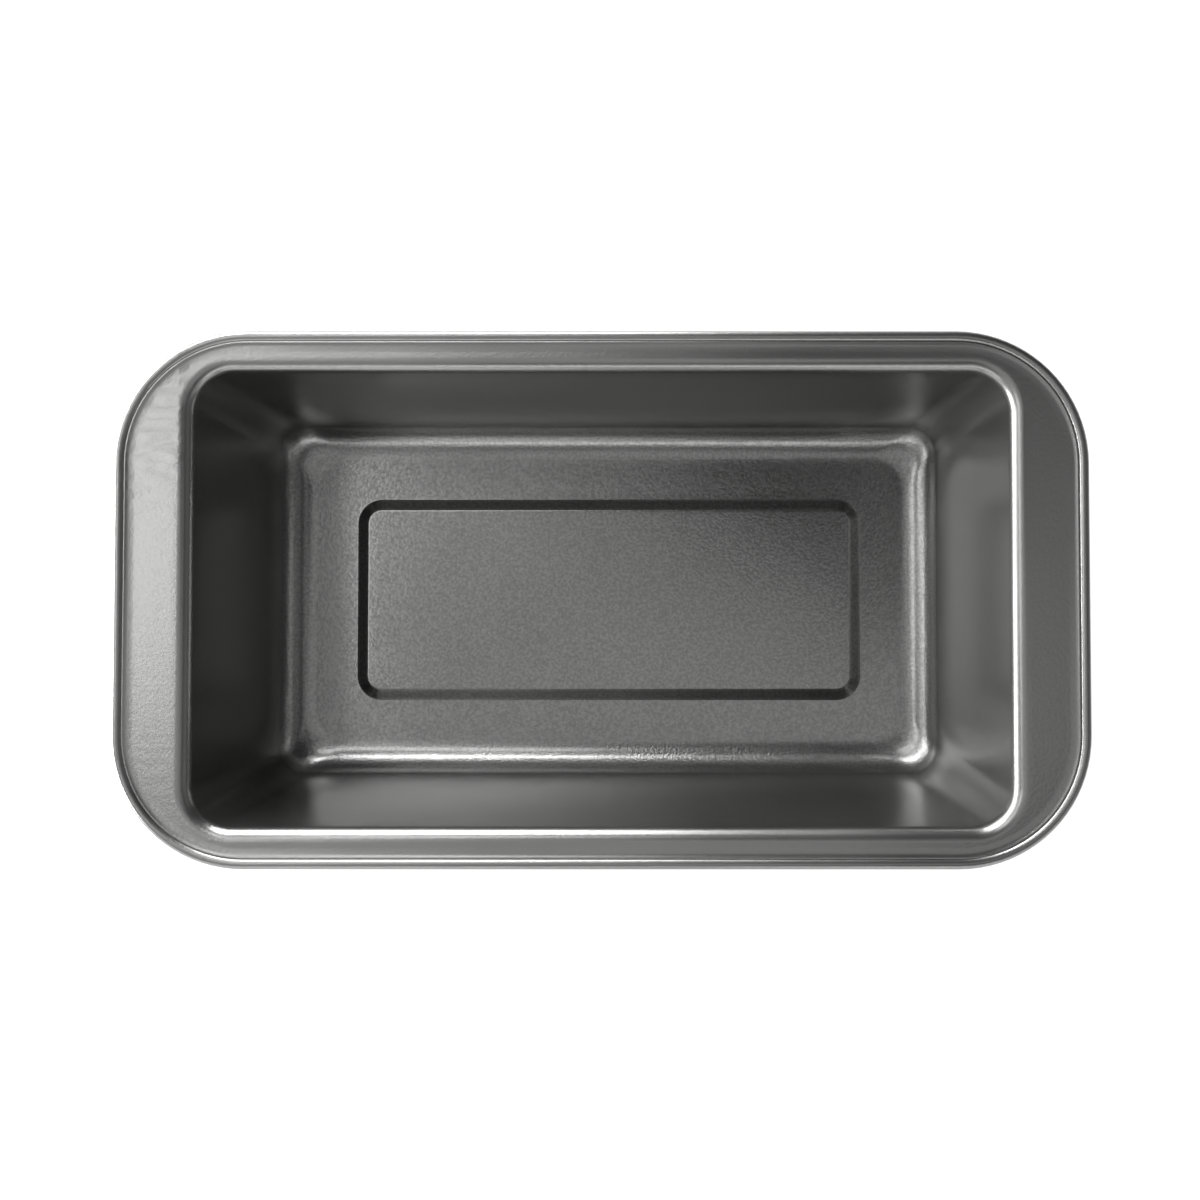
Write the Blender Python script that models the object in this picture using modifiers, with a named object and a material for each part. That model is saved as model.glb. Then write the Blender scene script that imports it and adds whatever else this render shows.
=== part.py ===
"""Loaf pan: one steel sheet drawn into a pan, its edge rolled around a stiffening wire.

Metres, +Z up. The origin is the middle of the pan's footprint, on the surface that it stands on.
+X runs along the pan and +Y across it. Both are planes of symmetry, apart from the wire's butt joint.
"""

import math
from collections import namedtuple

import bmesh
import bpy

MM = 0.001

# Driving dimensions. The sheet is described by its upper (food) side; its thickness lies behind that side.
SHEET = 0.5 * MM
RIM_LENGTH = 279.0 * MM  # over the rolled edge
RIM_WIDTH = 153.6 * MM
RIM_CORNER = 38.0 * MM
MOUTH_LENGTH = 235.6 * MM  # where the walls' inner faces would meet the flange, without a radius
MOUTH_WIDTH = 131.1 * MM
MOUTH_CORNER = 12.0 * MM
DEPTH = 67.0 * MM  # from the flange down to the floor
DRAFT = math.radians(7.0)  # how far the walls lean outwards
FOOT_CORNER = 8.5 * MM  # in plan, where the walls would meet the floor
FLOOR_RADIUS = 10.5 * MM
FLOOR_CORNER = 12.0 * MM  # in plan, of the flat floor's edge, so that the bend opens out in the corners
MOUTH_RADIUS = 4.0 * MM

# The stiffening panel, pressed upwards into the floor.
PANEL_LENGTH = 173.2 * MM  # at the foot of its slope
PANEL_WIDTH = 69.4 * MM
PANEL_CORNER = 8.6 * MM
PANEL_HEIGHT = 2.0 * MM
PANEL_SLOPE = math.radians(27.0)
PANEL_FOOT_RADIUS = 0.8 * MM
PANEL_CREST_RADIUS = 1.6 * MM

# The edge: a small ridge, a valley, and a roll around the wire. Distances are inwards from the outer edge.
WIRE_DIAMETER = 1.6 * MM
WIRE_CLEARANCE = 0.35 * MM
ROLL_CREST = 0.95 * MM  # how far the roll stands above the flange
ROLL_START = math.radians(145.0)  # in the valley; 90 degrees is the roll's crest and 0 its outer side
ROLL_END = math.radians(-165.0)  # the free edge, tucked under the flange
RIDGE_START = 5.5 * MM
RIDGE_STEP = 4.35 * MM
RIDGE_STEP_HEIGHT = 0.12 * MM
RIDGE_CREST = 3.7 * MM
RIDGE_HEIGHT = 0.45 * MM
BUTT_GAP = 1.0 * MM  # between the wire's two ends, in the middle of the rear side

# How finely the round parts are divided.
CORNER_STEPS = 9
FLOOR_RADIUS_STEPS = 6
MOUTH_RADIUS_STEPS = 5
PANEL_RADIUS_STEPS = 2
ROLL_STEPS_PER_TURN = 16
WIRE_BEVEL_RESOLUTION = 2

# Values that follow from the driving dimensions.
QUARTER_TURN = math.pi / 2
FLOOR_Z = SHEET
FLANGE_Z = FLOOR_Z + DEPTH
WALL_TURN = QUARTER_TURN - DRAFT  # the bend between the floor and a wall, and between a wall and the flange
ROLL_RADIUS = WIRE_DIAMETER / 2 + WIRE_CLEARANCE + SHEET
ROLL_Z = FLANGE_Z + ROLL_CREST - ROLL_RADIUS

COATED_STEEL = ((0.055, 0.054, 0.052, 1.0), 0.38, 0.75)
BARE_WIRE = ((0.42, 0.42, 0.41, 1.0), 0.32, 1.0)

# An outline seen from above: half its length and width, and its corner radius.
Outline = namedtuple("Outline", "half_length half_width corner")

PANEL_FOOT = Outline(PANEL_LENGTH / 2, PANEL_WIDTH / 2, PANEL_CORNER)
MOUTH = Outline(MOUTH_LENGTH / 2, MOUTH_WIDTH / 2, MOUTH_CORNER)
RIM = Outline(RIM_LENGTH / 2, RIM_WIDTH / 2, RIM_CORNER)
WALL_LEAN = DEPTH * math.tan(DRAFT)
FOOT = Outline(MOUTH.half_length - WALL_LEAN, MOUTH.half_width - WALL_LEAN, FOOT_CORNER)


def clear_scene():
    for obj in list(bpy.data.objects):
        bpy.data.objects.remove(obj, do_unlink=True)


def grown(outline, outwards):
    """The parallel outline, moved outwards by a distance, or inwards where it is negative."""
    return Outline(*(size + outwards for size in outline))


def mixed(first, second, share):
    """The outline part of the way from the first to the second."""
    return Outline(*(a + (b - a) * share for a, b in zip(first, second)))


def outline_points(outline, z):
    """The outline's points, anticlockwise from the +X end of the right side."""
    points = []
    centre_x = outline.half_length - outline.corner
    centre_y = outline.half_width - outline.corner
    for quarter, (side_x, side_y) in enumerate(((1, 1), (-1, 1), (-1, -1), (1, -1))):
        for step in range(CORNER_STEPS + 1):
            angle = (quarter + step / CORNER_STEPS) * QUARTER_TURN
            x = side_x * centre_x + outline.corner * math.cos(angle)
            y = side_y * centre_y + outline.corner * math.sin(angle)
            points.append((x, y, z))
    return points


def arc(centre, radius, start, end, steps):
    """Points (distance outwards, height) along an arc of the pan's section."""
    angles = [start + (end - start) * step / steps for step in range(steps + 1)]
    return [(centre[0] + radius * math.cos(a), centre[1] + radius * math.sin(a)) for a in angles]


def panel_section():
    """From the raised panel's flat top down its slope to the floor, outwards from the slope's foot."""
    crest_tangent = PANEL_CREST_RADIUS * math.tan(PANEL_SLOPE / 2)
    foot_tangent = PANEL_FOOT_RADIUS * math.tan(PANEL_SLOPE / 2)
    slope_run = PANEL_HEIGHT / math.tan(PANEL_SLOPE)
    crest = (-slope_run - foot_tangent - crest_tangent, FLOOR_Z + PANEL_HEIGHT - PANEL_CREST_RADIUS)
    foot = (0.0, FLOOR_Z + PANEL_FOOT_RADIUS)
    down = -QUARTER_TURN
    return arc(
        crest, PANEL_CREST_RADIUS, QUARTER_TURN, QUARTER_TURN - PANEL_SLOPE, PANEL_RADIUS_STEPS
    ) + arc(foot, PANEL_FOOT_RADIUS, down - PANEL_SLOPE, down, PANEL_RADIUS_STEPS)


def floor_radius_section():
    """The bend from the floor up into the wall, outwards from where the two would meet."""
    centre = (-FLOOR_RADIUS * math.tan(WALL_TURN / 2), FLOOR_Z + FLOOR_RADIUS)
    return arc(centre, FLOOR_RADIUS, -QUARTER_TURN, -DRAFT, FLOOR_RADIUS_STEPS)


def mouth_radius_section():
    """The bend from the wall out into the flange, outwards from where the two would meet."""
    centre = (MOUTH_RADIUS * math.tan(WALL_TURN / 2), FLANGE_Z - MOUTH_RADIUS)
    return arc(centre, MOUTH_RADIUS, math.pi - DRAFT, QUARTER_TURN, MOUTH_RADIUS_STEPS)


def roll_section():
    """The roll around the wire: over its crest, round its outer side and under to the free edge."""
    centre = (-ROLL_RADIUS, ROLL_Z)
    section = []
    for start, end in ((ROLL_START, QUARTER_TURN), (QUARTER_TURN, 0.0), (0.0, ROLL_END)):
        steps = math.ceil((start - end) / math.tau * ROLL_STEPS_PER_TURN)
        section = section[:-1] + arc(centre, ROLL_RADIUS, start, end, steps)
    return section


def rim_section():
    """The ridge at the flange's edge and the roll beyond it, outwards from the outer edge."""
    ridge = [
        (-RIDGE_START, FLANGE_Z),
        (-RIDGE_STEP, FLANGE_Z + RIDGE_STEP_HEIGHT),
        (-RIDGE_CREST, FLANGE_Z + RIDGE_HEIGHT),
    ]
    return ridge + roll_section()


def parallel_rings(outline, section):
    """A section carried round an outline at the same size everywhere."""
    return [outline_points(grown(outline, outwards), z) for outwards, z in section]


def floor_bend_rings():
    """The bend from the flat floor, with its rounder corners, up into the walls with their tighter ones."""
    section = floor_radius_section()
    start = section[0][0]
    end = section[-1][0]
    floor_edge = grown(FOOT, start)._replace(corner=FLOOR_CORNER)
    wall_foot = grown(FOOT, end)
    return [
        outline_points(mixed(floor_edge, wall_foot, (outwards - start) / (end - start)), z)
        for outwards, z in section
    ]


def pan_rings():
    """Every outline of the sheet's upper side, from the middle of the floor out to the free edge."""
    panel = parallel_rings(PANEL_FOOT, panel_section())
    mouth_bend = parallel_rings(MOUTH, mouth_radius_section())
    rim = parallel_rings(RIM, rim_section())
    return panel + floor_bend_rings() + mouth_bend + rim


def loft(name, rings):
    """An open surface through the rings, with the first one filled, facing upwards."""
    shape = bmesh.new()
    loops = [[shape.verts.new(point) for point in ring] for ring in rings]
    shape.faces.new(loops[0])
    for inner, outer in zip(loops, loops[1:]):
        for here in range(len(inner)):
            after = (here + 1) % len(inner)
            shape.faces.new((inner[here], outer[here], outer[after], inner[after]))
    mesh = bpy.data.meshes.new(name)
    shape.to_mesh(mesh)
    shape.free()
    mesh.shade_smooth()
    return mesh


def material(name, look):
    base_color, roughness, metallic = look
    made = bpy.data.materials.new(name)
    made.use_nodes = True
    shader = made.node_tree.nodes["Principled BSDF"]
    shader.inputs["Base Color"].default_value = base_color
    shader.inputs["Roughness"].default_value = roughness
    shader.inputs["Metallic"].default_value = metallic
    return made


def add_node(name, data, collection, look):
    obj = bpy.data.objects.new(name, data)
    collection.objects.link(obj)
    data.materials.append(material(name, look))
    return obj


def make_pan_body(collection):
    """The drawn and rolled sheet: floor, walls, flange and rim in one piece."""
    body = add_node("pan_body", loft("pan_body", pan_rings()), collection, COATED_STEEL)
    thickness = body.modifiers.new("sheet", "SOLIDIFY")
    thickness.thickness = SHEET
    thickness.offset = -1.0
    thickness.use_even_offset = True
    return body


def wire_route():
    """The wire's points. It is one length, and its two ends meet behind the pan with a small gap."""
    ring = outline_points(grown(RIM, -ROLL_RADIUS), ROLL_Z)
    first_corner = CORNER_STEPS + 1
    rear_y = RIM.half_width - ROLL_RADIUS
    start = (-BUTT_GAP / 2, rear_y, ROLL_Z)
    end = (BUTT_GAP / 2, rear_y, ROLL_Z)
    return [start] + ring[first_corner:] + ring[:first_corner] + [end]


def make_rim_wire(collection):
    """The round wire inside the roll."""
    route = wire_route()
    curve = bpy.data.curves.new("rim_wire", "CURVE")
    curve.dimensions = "3D"
    curve.bevel_depth = WIRE_DIAMETER / 2
    curve.bevel_resolution = WIRE_BEVEL_RESOLUTION
    curve.use_fill_caps = True
    spline = curve.splines.new("POLY")
    spline.points.add(len(route) - 1)
    for point, place in zip(spline.points, route):
        point.co = (*place, 1.0)
    return add_node("rim_wire", curve, collection, BARE_WIRE)


def main():
    clear_scene()
    collection = bpy.data.collections.new("loaf_pan")
    bpy.context.scene.collection.children.link(collection)
    make_pan_body(collection)
    make_rim_wire(collection)


main()
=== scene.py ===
"""The loaf pan as it looks: a fine drawn sheet and its rim wire, their finishes, and a plain studio.

Metres, in the CAD model's own frame: +X along the pan, +Y across it to its rear side, and +Z up.
"""

import functools
import math
from collections import namedtuple

import bmesh
import bpy
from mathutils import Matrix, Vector


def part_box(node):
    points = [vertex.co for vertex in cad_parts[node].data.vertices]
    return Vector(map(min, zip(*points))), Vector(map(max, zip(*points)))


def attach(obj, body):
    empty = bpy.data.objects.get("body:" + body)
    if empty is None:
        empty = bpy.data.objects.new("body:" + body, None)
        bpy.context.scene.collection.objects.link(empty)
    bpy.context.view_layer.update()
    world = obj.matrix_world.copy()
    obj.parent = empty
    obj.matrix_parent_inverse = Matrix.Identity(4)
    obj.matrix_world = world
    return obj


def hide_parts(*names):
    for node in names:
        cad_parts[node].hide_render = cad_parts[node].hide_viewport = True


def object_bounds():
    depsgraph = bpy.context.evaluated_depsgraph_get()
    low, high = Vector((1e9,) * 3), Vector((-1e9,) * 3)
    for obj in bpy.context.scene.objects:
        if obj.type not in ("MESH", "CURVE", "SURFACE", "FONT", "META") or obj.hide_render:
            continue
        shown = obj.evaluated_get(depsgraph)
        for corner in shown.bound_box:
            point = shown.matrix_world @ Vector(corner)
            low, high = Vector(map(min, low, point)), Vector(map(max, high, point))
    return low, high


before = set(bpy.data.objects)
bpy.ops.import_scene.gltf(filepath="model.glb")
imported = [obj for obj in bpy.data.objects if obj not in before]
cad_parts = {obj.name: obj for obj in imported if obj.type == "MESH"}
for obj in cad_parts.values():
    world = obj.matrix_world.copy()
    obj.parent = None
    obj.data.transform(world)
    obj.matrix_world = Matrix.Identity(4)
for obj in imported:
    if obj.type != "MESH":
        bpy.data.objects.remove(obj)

cad_low, cad_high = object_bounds()

MM = 0.001
QUARTER_TURN = math.pi / 2

# What the frame says.
sheet_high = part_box("pan_body")[1]
wire_low, wire_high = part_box("rim_wire")
WIRE_RADIUS = (wire_high.z - wire_low.z) / 2
ROLL_Z = (wire_high.z + wire_low.z) / 2
ROLL_RADIUS = sheet_high.z - ROLL_Z

# Sizes of the sheet that its box doesn't say. They describe its upper (food) side, as the CAD model does.
SHEET = 0.5 * MM
RIM_CORNER = 38.0 * MM
MOUTH_LENGTH = 235.6 * MM
MOUTH_WIDTH = 131.1 * MM
MOUTH_CORNER = 12.0 * MM
DEPTH = 67.0 * MM
DRAFT = math.radians(7.0)
FOOT_CORNER = 8.5 * MM
FLOOR_RADIUS = 10.5 * MM
FLOOR_CORNER = 12.0 * MM
MOUTH_RADIUS = 4.0 * MM

PANEL_LENGTH = 173.2 * MM
PANEL_WIDTH = 69.4 * MM
PANEL_CORNER = 8.6 * MM
PANEL_HEIGHT = 2.0 * MM
PANEL_SLOPE = math.radians(27.0)
PANEL_FOOT_RADIUS = 0.8 * MM
PANEL_CREST_RADIUS = 1.6 * MM

ROLL_START = math.radians(145.0)
ROLL_END = math.radians(-165.0)
# The ridge at the flange's edge: distance inwards from the outer edge, and height above the flange.
RIDGE = (
    (6.2 * MM, 0.0),
    (5.6 * MM, 0.03 * MM),
    (5.0 * MM, 0.08 * MM),
    (4.4 * MM, 0.16 * MM),
    (3.95 * MM, 0.30 * MM),
    (3.55 * MM, 0.46 * MM),
    (3.25 * MM, 0.43 * MM),
)
BUTT_GAP = 1.0 * MM

# How finely the surfaces are divided.
CORNER_STEPS = 20
SIDE_STEPS = 60
END_STEPS = 30
FLOOR_RADIUS_STEPS = 20
WALL_STEPS = 12
MOUTH_RADIUS_STEPS = 14
FLANGE_STEPS = 8
PANEL_RADIUS_STEPS = 6
RIDGE_STEPS = 4
ROLL_STEPS = 40
PANEL_TOP_SCALES = (0.25, 0.5, 0.75, 0.95)  # of the rings inside the panel's flat top
FLOOR_STEPS = 4
WIRE_SIDES = 16
SHARP_ANGLE = math.radians(50.0)  # an edge that turns more than this is shaded sharp

FLOOR_Z = SHEET
FLANGE_Z = FLOOR_Z + DEPTH
WALL_TURN = QUARTER_TURN - DRAFT

Outline = namedtuple("Outline", "half_length half_width corner")
PANEL_FOOT = Outline(PANEL_LENGTH / 2, PANEL_WIDTH / 2, PANEL_CORNER)
MOUTH = Outline(MOUTH_LENGTH / 2, MOUTH_WIDTH / 2, MOUTH_CORNER)
RIM = Outline(sheet_high.x, sheet_high.y, RIM_CORNER)
WALL_LEAN = DEPTH * math.tan(DRAFT)
FOOT = Outline(MOUTH.half_length - WALL_LEAN, MOUTH.half_width - WALL_LEAN, FOOT_CORNER)


# ---------------------------------------------------------------- outlines and sections


def grown(outline, outwards):
    """The parallel outline, moved outwards by a distance, or inwards where it is negative."""
    return Outline(*(size + outwards for size in outline))


def mixed(first, second, share):
    """The outline part of the way from the first to the second."""
    return Outline(*(a + (b - a) * share for a, b in zip(first, second)))


def straight(start, end, steps):
    """The points after the start of a straight run, up to but not including its end."""
    return [start.lerp(end, step / steps) for step in range(1, steps)]


def outline_points(outline, z):
    """The outline's points, anticlockwise from the +X end, with the straight sides divided too."""
    centre_x = outline.half_length - outline.corner
    centre_y = outline.half_width - outline.corner
    corners = []
    for quarter, (side_x, side_y) in enumerate(((1, 1), (-1, 1), (-1, -1), (1, -1))):
        centre = Vector((side_x * centre_x, side_y * centre_y, z))
        angles = [(quarter + step / CORNER_STEPS) * QUARTER_TURN for step in range(CORNER_STEPS + 1)]
        corners.append([centre + outline.corner * Vector((math.cos(a), math.sin(a), 0)) for a in angles])
    points = []
    for quarter, corner in enumerate(corners):
        following = corners[(quarter + 1) % len(corners)]
        steps = END_STEPS if quarter % 2 else SIDE_STEPS
        points += corner + straight(corner[-1], following[0], steps)
    return points


def arc(centre, radius, start, end, steps):
    """Points (distance outwards, height) along an arc of the pan's section."""
    angles = [start + (end - start) * step / steps for step in range(steps + 1)]
    return [(centre[0] + radius * math.cos(a), centre[1] + radius * math.sin(a)) for a in angles]


def catmull_rom(a, b, c, d, t):
    """The value between b, where t is 0, and c, where it is 1, on the smooth curve through all four."""
    slope = c - a
    square = 2 * a - 5 * b + 4 * c - d
    cube = 3 * b - a - 3 * c + d
    return 0.5 * (2 * b + slope * t + square * t**2 + cube * t**3)


def smooth_line(points, steps):
    """A Catmull-Rom curve through the points after the first and before the last."""
    line = []
    for four_points in zip(points, points[1:], points[2:], points[3:]):
        for step in range(steps):
            line.append(tuple(catmull_rom(*values, step / steps) for values in zip(*four_points)))
    return line


def panel_section():
    """From the raised panel's flat top down its slope to the floor, outwards from the slope's foot."""
    crest_tangent = PANEL_CREST_RADIUS * math.tan(PANEL_SLOPE / 2)
    foot_tangent = PANEL_FOOT_RADIUS * math.tan(PANEL_SLOPE / 2)
    slope_run = PANEL_HEIGHT / math.tan(PANEL_SLOPE)
    crest = (-slope_run - foot_tangent - crest_tangent, FLOOR_Z + PANEL_HEIGHT - PANEL_CREST_RADIUS)
    foot = (0.0, FLOOR_Z + PANEL_FOOT_RADIUS)
    down = -QUARTER_TURN
    return arc(
        crest, PANEL_CREST_RADIUS, QUARTER_TURN, QUARTER_TURN - PANEL_SLOPE, PANEL_RADIUS_STEPS
    ) + arc(foot, PANEL_FOOT_RADIUS, down - PANEL_SLOPE, down, PANEL_RADIUS_STEPS)


def floor_radius_section():
    """The bend from the floor up into the wall, outwards from where the two would meet."""
    centre = (-FLOOR_RADIUS * math.tan(WALL_TURN / 2), FLOOR_Z + FLOOR_RADIUS)
    return arc(centre, FLOOR_RADIUS, -QUARTER_TURN, -DRAFT, FLOOR_RADIUS_STEPS)


def mouth_radius_section():
    """The bend from the wall out into the flange, outwards from where the two would meet."""
    centre = (MOUTH_RADIUS * math.tan(WALL_TURN / 2), FLANGE_Z - MOUTH_RADIUS)
    return arc(centre, MOUTH_RADIUS, math.pi - DRAFT, QUARTER_TURN, MOUTH_RADIUS_STEPS)


def rim_section():
    """The ridge at the flange's edge and the roll beyond it, outwards from the outer edge."""
    roll = arc((-ROLL_RADIUS, ROLL_Z), ROLL_RADIUS, ROLL_START, ROLL_END, ROLL_STEPS)
    ridge = [(-inwards, FLANGE_Z + height) for inwards, height in RIDGE]
    flat = (2 * ridge[0][0] - ridge[1][0], FLANGE_Z)
    return smooth_line([flat] + ridge + roll[:2], RIDGE_STEPS) + roll


def placed(outline, section):
    """A section's points as (outline, height) stations."""
    return [(grown(outline, outwards), z) for outwards, z in section]


def floor_bend_stations():
    """The bend from the flat floor, with its rounder corners, up into the walls with their tighter ones."""
    section = floor_radius_section()
    start = section[0][0]
    end = section[-1][0]
    floor_edge = grown(FOOT, start)._replace(corner=FLOOR_CORNER)
    wall_foot = grown(FOOT, end)
    return [
        (mixed(floor_edge, wall_foot, (outwards - start) / (end - start)), z)
        for outwards, z in section
    ]


def bridged(start, end, steps):
    """The stations strictly between two others."""
    shares = [step / steps for step in range(1, steps)]
    return [(mixed(start[0], end[0], share), start[1] + (end[1] - start[1]) * share) for share in shares]


def pan_stations():
    """Every (outline, height) of the sheet's upper side, from the middle of the floor to the free edge."""
    panel = placed(PANEL_FOOT, panel_section())
    floor_bend = floor_bend_stations()
    mouth_bend = placed(MOUTH, mouth_radius_section())
    rim = placed(RIM, rim_section())
    crest, crest_z = panel[0]
    top = [(Outline(*(size * scale for size in crest)), crest_z) for scale in PANEL_TOP_SCALES]
    floor = bridged(panel[-1], floor_bend[0], FLOOR_STEPS)
    wall = bridged(floor_bend[-1], mouth_bend[0], WALL_STEPS)
    flange = bridged(mouth_bend[-1], rim[0], FLANGE_STEPS)
    return top + panel + floor + floor_bend + wall + mouth_bend + flange + rim


# ---------------------------------------------------------------- meshes


def loft(name, rings):
    """An open surface through the rings, with the first one filled, facing upwards."""
    shape = bmesh.new()
    loops = [[shape.verts.new(point) for point in ring] for ring in rings]
    shape.faces.new(loops[0])
    for inner, outer in zip(loops, loops[1:]):
        for here in range(len(inner)):
            after = (here + 1) % len(inner)
            shape.faces.new((inner[here], outer[here], outer[after], inner[after]))
    mesh = bpy.data.meshes.new(name)
    shape.to_mesh(mesh)
    shape.free()
    mesh.shade_smooth()
    return mesh


def add_piece(name, data, finish):
    piece = bpy.data.objects.new(name, data)
    bpy.context.scene.collection.objects.link(piece)
    data.materials.append(finish)
    return piece


def bake_modifiers(piece):
    """Make the piece's modifiers part of its mesh."""
    graph = bpy.context.evaluated_depsgraph_get()
    mesh = bpy.data.meshes.new_from_object(piece.evaluated_get(graph))
    piece.modifiers.clear()
    piece.data = mesh


def make_pan(finish):
    """The sheet: the same section as the CAD body's, with every bend round."""
    rings = [outline_points(outline, z) for outline, z in pan_stations()]
    pan = add_piece("drawn_sheet", loft("drawn_sheet", rings), finish)
    thickness = pan.modifiers.new("sheet", "SOLIDIFY")
    thickness.thickness = SHEET
    thickness.offset = -1.0
    thickness.use_even_offset = True
    bake_modifiers(pan)
    pan.data.set_sharp_from_angle(angle=SHARP_ANGLE)
    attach(pan, "root")
    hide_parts("pan_body")


def make_wire(finish):
    """The wire in the roll, with its two cut ends facing each other behind the pan."""
    ring = outline_points(grown(RIM, -ROLL_RADIUS), ROLL_Z)
    first_after_gap = CORNER_STEPS + 1 + SIDE_STEPS // 2
    route = ring[first_after_gap:] + ring[:first_after_gap - 1]
    rear_y = route[0].y
    route = [Vector((-BUTT_GAP / 2, rear_y, ROLL_Z))] + route + [Vector((BUTT_GAP / 2, rear_y, ROLL_Z))]
    curve = bpy.data.curves.new("wire_route", "CURVE")
    curve.dimensions = "3D"
    curve.bevel_depth = WIRE_RADIUS
    curve.bevel_resolution = WIRE_SIDES // 2 - 2  # a round bevel has twice this many sides, and four more
    curve.use_fill_caps = True
    spline = curve.splines.new("POLY")
    spline.points.add(len(route) - 1)
    for point, place in zip(spline.points, route):
        point.co = (*place, 1.0)
    wire = add_piece("stiffening_wire", curve, finish)
    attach(wire, "root")
    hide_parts("rim_wire")


# ---------------------------------------------------------------- materials


class Nodes:
    """A small helper that adds and links shader nodes."""

    def __init__(self, name):
        self.material = bpy.data.materials.new(name)
        self.material.use_nodes = True
        self.tree = self.material.node_tree
        self.shader = self.tree.nodes["Principled BSDF"]
        self.place = self.add("ShaderNodeTexCoord").outputs["Object"]

    def add(self, kind, **settings):
        node = self.tree.nodes.new(kind)
        for key, value in settings.items():
            setattr(node, key, value)
        return node

    def link(self, source, target):
        self.tree.links.new(source, target)

    def coordinate(self, axis):
        """A point's X, Y or Z in the pan's own space, in metres."""
        split = self.add("ShaderNodeSeparateXYZ")
        self.link(self.place, split.inputs["Vector"])
        return split.outputs[axis]

    def noise(self, scale, detail=2.0, stretch=(1, 1, 1)):
        """Noise from about 0 to 1, in the pan's own space."""
        mapping = self.add("ShaderNodeMapping")
        mapping.inputs["Scale"].default_value = stretch
        self.link(self.place, mapping.inputs["Vector"])
        noise = self.add("ShaderNodeTexNoise")
        noise.inputs["Scale"].default_value = scale
        noise.inputs["Detail"].default_value = detail
        self.link(mapping.outputs["Vector"], noise.inputs["Vector"])
        return noise.outputs["Fac"]

    def spread(self, value, low, high, start=0.3, end=0.7):
        """The value, stretched from start..end onto low..high. Noise seldom leaves 0.3 to 0.7."""
        node = self.add("ShaderNodeMapRange", clamp=True)
        for socket, number in (("From Min", start), ("From Max", end), ("To Min", low), ("To Max", high)):
            node.inputs[socket].default_value = number
        self.link(value, node.inputs["Value"])
        return node.outputs["Result"]

    def maths(self, operation, first, second):
        node = self.add("ShaderNodeMath", operation=operation)
        for socket, value in zip(node.inputs, (first, second)):
            if isinstance(value, (int, float)):
                socket.default_value = value
            else:
                self.link(value, socket)
        return node.outputs["Value"]

    def tint(self, factor, dark, light):
        """A colour between two, by the factor."""
        node = self.add("ShaderNodeMix", data_type="RGBA")
        node.inputs["A"].default_value = (*dark, 1.0)
        node.inputs["B"].default_value = (*light, 1.0)
        self.link(factor, node.inputs["Factor"])
        return node.outputs["Result"]

    def product(self, *values):
        return functools.reduce(lambda first, second: self.maths("MULTIPLY", first, second), values)

    def total(self, *values):
        return functools.reduce(lambda first, second: self.maths("ADD", first, second), values)

    def relief(self, height):
        """Fine relief, whose height is given in millimetres."""
        node = self.add("ShaderNodeBump")
        node.inputs["Distance"].default_value = MM
        self.link(height, node.inputs["Height"])
        self.link(node.outputs["Normal"], self.shader.inputs["Normal"])


# The coating: a metallic layer under a thin clear one. Colours, roughnesses and strengths run from 0 to 1,
# and a noise scale is per metre. A pair is the walls' and flange's value, and then the floor's.
COATING_DARK = (0.09, 0.09, 0.0885)
COATING_LIGHT = (0.31, 0.31, 0.3065)
COATING_METALLIC = 0.95
ROUGHNESS_LOW = 0.28
ROUGHNESS_HIGH = 0.31
FLOOR_EXTRA_ROUGHNESS = -0.05
BEND_EXTRA_ROUGHNESS = 0.05
CLEAR_WEIGHT = 0.6
CLEAR_ROUGHNESS = (0.30, 0.14)
CLOUD_SCALE = 26
CLOUD_STRENGTH = 0.2
SPECKLE_STRENGTH = (0.02, 0.3)
SLOPE_PAINTED_SHADE = -0.35  # painted shade: the colour made darker on the panel's slope
GRAIN_SCALE = 1100
GRAIN_LOW = 0.35  # the noise at the grain's hollows
GRAIN_HIGH = 0.65  # and at its tops
GRAIN_HEIGHT = 0.03  # millimetres, times the coarseness of each place
COARSENESS = 0.1
FLOOR_EXTRA_COARSENESS = 0.5
BEND_EXTRA_COARSENESS = 0.4
FLANGE_EXTRA_COARSENESS = 0.4
MIDDLE = 0.5  # of noise, and of the step between the two colours
FLOOR_TOP = 5.0 * MM  # the floor's finish is whole below this
WALL_BOTTOM = 11.0 * MM  # and the walls' above this
FLANGE_BOTTOM = FLANGE_Z - 2.0 * MM  # the flange's finish starts here
FLANGE_TOP = FLANGE_Z - 0.2 * MM  # and is whole here
BEND_BLEND = 1.0 * MM  # to either side of the flat floor's edge
PANEL_TOP = FLOOR_Z + PANEL_HEIGHT
SLOPE_START = 0.1 * MM  # in height, from the floor or the panel's top to the slope's painted shade
SLOPE_FULL = 0.5 * MM

# Press wrinkles: ripples on the -X end's flange, towards its rear corner, where the sheet was squeezed.
WRINKLE_PITCH = 2.7 * MM
WRINKLE_LENGTH = 7.0 * MM  # of one ripple, along X
WRINKLE_START_Y = 22.0 * MM
WRINKLE_FULL_Y = 38.0 * MM
WRINKLE_FAINTEST = 0.1  # their share of the full height before the start
WRINKLE_FULL_X = 121.0 * MM  # they have their full height further out than this
WRINKLE_START_X = 118.0 * MM
WRINKLE_HEIGHT = 0.28  # millimetres

WIRE_DARK = (0.36, 0.36, 0.35)
WIRE_LIGHT = (0.56, 0.56, 0.55)
WIRE_SMOOTHEST = 0.25
WIRE_ROUGHEST = 0.45
WIRE_MARK_SCALE = 900
WIRE_MARK_HEIGHT = 0.004  # millimetres


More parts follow.
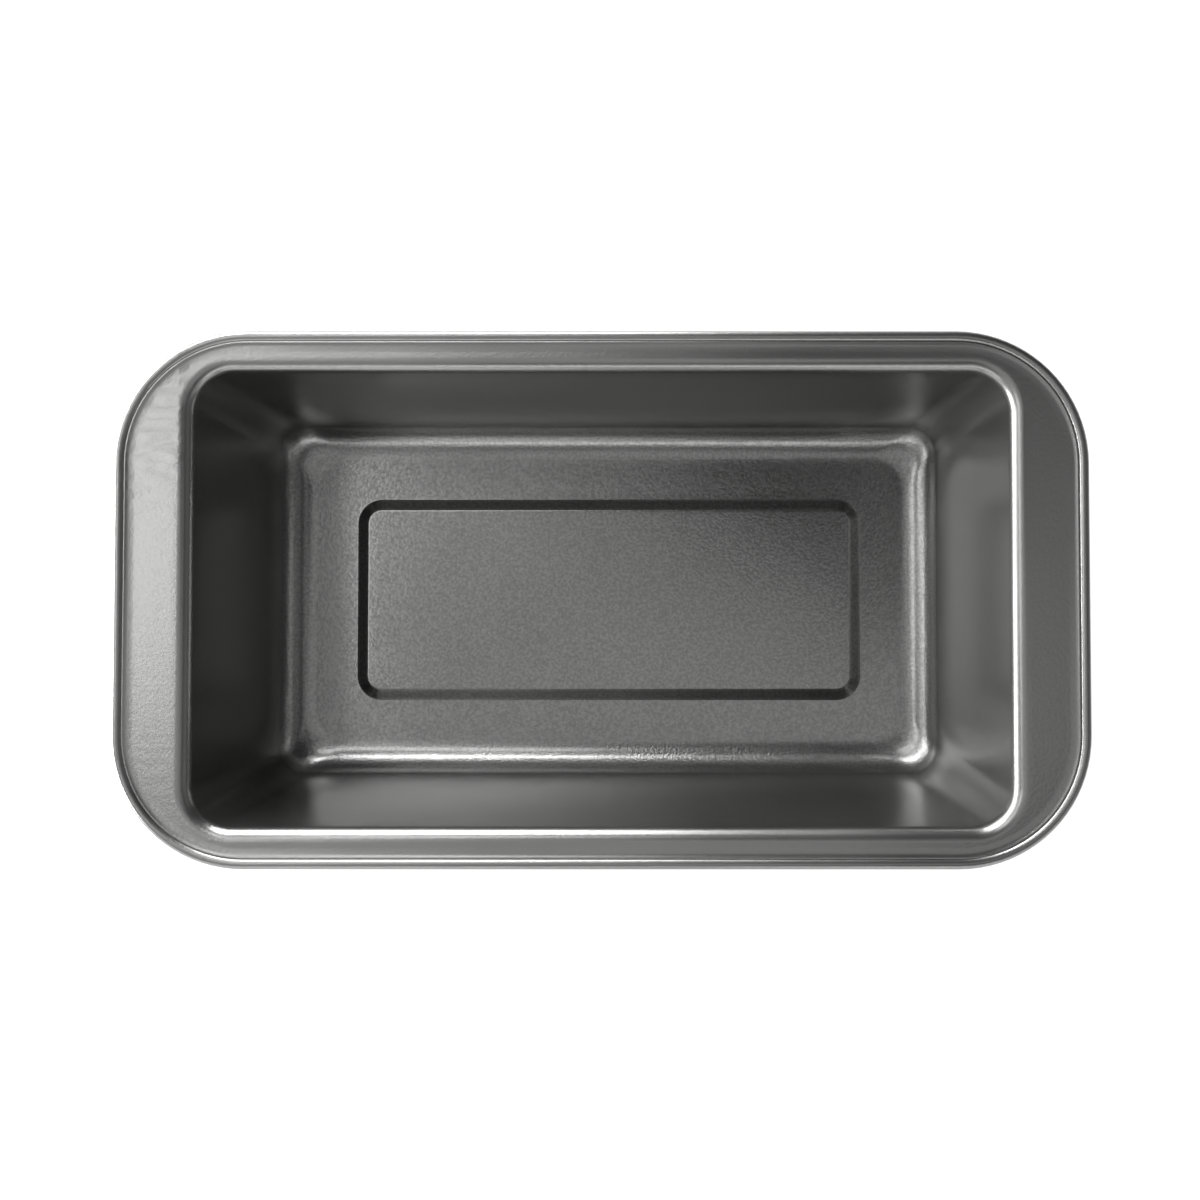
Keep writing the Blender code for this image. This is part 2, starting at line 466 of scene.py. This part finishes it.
def press_wrinkles(made, on_flange):
    """The ripples' height in millimetres: on the -X end's flange, towards its rear corner."""
    at_end = made.spread(made.coordinate("X"), 1, 0, start=-WRINKLE_FULL_X, end=-WRINKLE_START_X)
    near_corner = made.spread(
        made.coordinate("Y"), WRINKLE_FAINTEST, 1, start=WRINKLE_START_Y, end=WRINKLE_FULL_Y
    )
    ripples = made.noise(1 / WRINKLE_PITCH, detail=0, stretch=(WRINKLE_PITCH / WRINKLE_LENGTH, 1, 1))
    return made.product(ripples, at_end, near_corner, on_flange, WRINKLE_HEIGHT)


def bend_mask(made, on_floor):
    """1 in the bend around the flat floor and 0 on the floor itself."""
    away_x = made.maths("ABSOLUTE", made.coordinate("X"), 0)
    away_y = made.maths("ABSOLUTE", made.coordinate("Y"), 0)
    edge = grown(FOOT, floor_radius_section()[0][0])
    beyond_x = made.maths("SUBTRACT", away_x, edge.half_length)
    beyond_y = made.maths("SUBTRACT", away_y, edge.half_width)
    beyond = made.maths("MAXIMUM", beyond_x, beyond_y)
    return made.product(made.spread(beyond, 0, 1, start=-BEND_BLEND, end=BEND_BLEND), on_floor)


def painted_slope_shade_mask(made, height, on_bend):
    """1 on the raised panel's slope, where shade is painted into the colour, and 0 elsewhere."""
    above_floor = made.spread(height, 0, 1, start=FLOOR_Z + SLOPE_START, end=FLOOR_Z + SLOPE_FULL)
    below_top = made.spread(height, 1, 0, start=PANEL_TOP - SLOPE_FULL, end=PANEL_TOP - SLOPE_START)
    return made.product(above_floor, below_top, made.maths("SUBTRACT", 1, on_bend))


def coating_tone(made, grain, clouds, on_floor, slope_shade_share):
    """Where the colour lies from dark to light: sandy speckle and a cloudy drift about the middle, with
    painted shade on the panel's slope.
    """
    speckle_strength = made.spread(on_floor, *SPECKLE_STRENGTH, start=0, end=1)
    speckle = made.product(made.maths("SUBTRACT", grain, MIDDLE), speckle_strength)
    drift = made.product(made.maths("SUBTRACT", clouds, MIDDLE), CLOUD_STRENGTH)
    # Painted shade: the panel's slope is made darker than the rest of the coating.
    return made.total(speckle, drift, MIDDLE, made.product(slope_shade_share, SLOPE_PAINTED_SHADE))


def nonstick_finish():
    """Dark grey metallic non-stick coating, sandy on the floor and smoother on the walls and flange."""
    made = Nodes("nonstick_coating")
    height = made.coordinate("Z")
    on_floor = made.spread(height, 1, 0, start=FLOOR_TOP, end=WALL_BOTTOM)
    on_bend = bend_mask(made, on_floor)
    on_flange = made.spread(height, 0, 1, start=FLANGE_BOTTOM, end=FLANGE_TOP)
    grain = made.spread(made.noise(GRAIN_SCALE), 0, 1, start=GRAIN_LOW, end=GRAIN_HIGH)
    clouds = made.noise(CLOUD_SCALE, detail=3.0)
    tone = coating_tone(made, grain, clouds, on_floor, painted_slope_shade_mask(made, height, on_bend))
    made.link(made.tint(tone, COATING_DARK, COATING_LIGHT), made.shader.inputs["Base Color"])
    roughness = made.total(
        made.spread(clouds, ROUGHNESS_LOW, ROUGHNESS_HIGH),
        made.product(on_floor, FLOOR_EXTRA_ROUGHNESS),
        made.product(on_bend, BEND_EXTRA_ROUGHNESS),
    )
    made.link(roughness, made.shader.inputs["Roughness"])
    made.shader.inputs["Metallic"].default_value = COATING_METALLIC
    made.shader.inputs["Coat Weight"].default_value = CLEAR_WEIGHT
    clear_roughness = made.spread(on_floor, *CLEAR_ROUGHNESS, start=0, end=1)
    made.link(clear_roughness, made.shader.inputs["Coat Roughness"])
    coarseness = made.total(
        made.product(on_floor, FLOOR_EXTRA_COARSENESS),
        made.product(on_bend, BEND_EXTRA_COARSENESS),
        made.product(on_flange, FLANGE_EXTRA_COARSENESS),
        COARSENESS,
    )
    made.relief(made.total(made.product(grain, coarseness, GRAIN_HEIGHT), press_wrinkles(made, on_flange)))
    return made.material


def wire_finish():
    """Drawn steel wire with fine marks along it."""
    made = Nodes("drawn_wire")
    marks = made.noise(WIRE_MARK_SCALE, detail=4.0)
    made.link(made.tint(marks, WIRE_DARK, WIRE_LIGHT), made.shader.inputs["Base Color"])
    made.link(made.spread(marks, WIRE_SMOOTHEST, WIRE_ROUGHEST), made.shader.inputs["Roughness"])
    made.shader.inputs["Metallic"].default_value = 1.0
    made.relief(made.product(marks, WIRE_MARK_HEIGHT))
    return made.material


# ---------------------------------------------------------------- studio


WHITE = (1.0, 1.0, 1.0, 1.0)
FLOOR_SIZE = 8.0
FLOOR_GREY = (0.3, 0.3, 0.3, 1.0)
FLOOR_ROUGHNESS = 0.9
FLOOR_GLOW = 0.8


def make_floor():
    """A plain pale floor that the pan stands on. Its glow keeps it white where the lights don't reach."""
    bpy.ops.mesh.primitive_plane_add(size=FLOOR_SIZE, location=(0, 0, cad_low.z))
    floor = bpy.context.object
    floor.name = "floor"
    made = Nodes("pale_floor")
    made.shader.inputs["Base Color"].default_value = FLOOR_GREY
    made.shader.inputs["Roughness"].default_value = FLOOR_ROUGHNESS
    made.shader.inputs["Emission Color"].default_value = WHITE
    made.shader.inputs["Emission Strength"].default_value = FLOOR_GLOW
    floor.data.materials.append(made.material)


# The studio: softboxes on a sphere around the pan's mouth. Azimuth 0 is +X and 90 is +Y, and zenith is the
# angle from straight up, all in degrees. Sizes are in metres. The strong ones stand together like a window,
# behind and to the left.
LIGHT_DISTANCE = 1.2
Softbox = namedtuple("Softbox", "name azimuth zenith width height radiance")
SOFTBOXES = (
    Softbox("horizon_back", 108, 84, 0.90, 0.28, 14.0),
    Softbox("horizon_back_left", 150, 84, 0.80, 0.28, 8.0),
    Softbox("horizon_left", 190, 82, 0.80, 0.32, 24.0),
    Softbox("horizon_near_left", 240, 84, 1.20, 0.28, 2.6),
    Softbox("horizon_near", 300, 84, 1.20, 0.28, 2.0),
    Softbox("window_back", 108, 66, 0.80, 0.53, 7.0),
    Softbox("window_back_left", 150, 66, 0.80, 0.53, 7.4),
    Softbox("window_left", 190, 66, 0.80, 0.53, 1.4),
    Softbox("near_left_fill", 240, 62, 1.20, 0.70, 0.9),
    Softbox("near_fill", 305, 62, 1.30, 0.70, 0.7),
    Softbox("near_strip", 270, 60, 1.40, 0.12, 4.8),
    Softbox("right_fill", 0, 62, 1.20, 0.70, 0.3),
    Softbox("bright_pane", 110, 62, 0.60, 0.24, 10.0),
    Softbox("upper_back_left", 118, 31, 0.50, 0.24, 5.5),
    Softbox("upper_left", 172, 32, 0.52, 0.23, 5.0),
    Softbox("upper_near_left", 228, 36, 0.56, 0.28, 0.8),
    Softbox("upper_right", 0, 26, 0.60, 0.30, 0.5),
    Softbox("ceiling", 235, 10.5, 1.10, 0.80, 0.75),
)


def add_softbox(box):
    """A rectangular light that faces the pan's mouth."""
    azimuth, zenith = math.radians(box.azimuth), math.radians(box.zenith)
    level = math.sin(zenith)
    towards = Vector((math.cos(azimuth) * level, math.sin(azimuth) * level, math.cos(zenith)))
    data = bpy.data.lights.new(box.name, "AREA")
    data.shape = "RECTANGLE"
    data.size = box.width
    data.size_y = box.height
    data.energy = box.radiance * math.pi * box.width * box.height
    light = bpy.data.objects.new(box.name, data)
    bpy.context.scene.collection.objects.link(light)
    light.location = Vector((0, 0, FLANGE_Z)) + towards * LIGHT_DISTANCE
    light.rotation_mode = "QUATERNION"
    light.rotation_quaternion = towards.to_track_quat("Z", "Y")
    light.visible_camera = False


def make_lights():
    for box in SOFTBOXES:
        add_softbox(box)


SEEN_STRENGTH = 1.0
SURROUND_STRENGTH = 0.02


def make_world():
    """White to the eye, and a dim even surround in the pan's reflections."""
    world = bpy.data.worlds.new("studio")
    bpy.context.scene.world = world
    world.use_nodes = True
    tree = world.node_tree
    seen = tree.nodes["Background"]
    seen.inputs["Color"].default_value = WHITE
    seen.inputs["Strength"].default_value = SEEN_STRENGTH
    surround = tree.nodes.new("ShaderNodeBackground")
    surround.inputs["Color"].default_value = WHITE
    surround.inputs["Strength"].default_value = SURROUND_STRENGTH
    path = tree.nodes.new("ShaderNodeLightPath")
    mix = tree.nodes.new("ShaderNodeMixShader")
    tree.links.new(path.outputs["Is Camera Ray"], mix.inputs["Fac"])
    tree.links.new(surround.outputs["Background"], mix.inputs[1])
    tree.links.new(seen.outputs["Background"], mix.inputs[2])
    tree.links.new(mix.outputs["Shader"], tree.nodes["World Output"].inputs["Surface"])


CAMERA_HEIGHT = 320.0 * MM  # above the flange
CAMERA_OFFSET = Vector((12.5, -1.5)) * MM
CAMERA_TILT = math.radians(1.43)  # the near side of the pan is a little closer to the lens
LENS = 33.69  # millimetres, as is the next
SENSOR = 36.0
SHIFT_X = -0.0377
SHIFT_Y = -0.0201
CLIP_START = 0.01
CLIP_END = 50.0


def make_camera():
    data = bpy.data.cameras.new("camera")
    data.sensor_width = SENSOR
    data.lens = LENS
    data.shift_x = SHIFT_X
    data.shift_y = SHIFT_Y
    data.clip_start = CLIP_START
    data.clip_end = CLIP_END
    camera = bpy.data.objects.new("camera", data)
    bpy.context.scene.collection.objects.link(camera)
    camera.location = (CAMERA_OFFSET.x, CAMERA_OFFSET.y, FLANGE_Z + CAMERA_HEIGHT)
    camera.rotation_euler = (CAMERA_TILT, 0.0, 0.0)
    bpy.context.scene.camera = camera


def main():
    make_camera()
    make_pan(nonstick_finish())
    make_wire(wire_finish())
    make_floor()
    make_lights()
    make_world()
    bpy.context.scene.view_settings.view_transform = "Standard"


main()
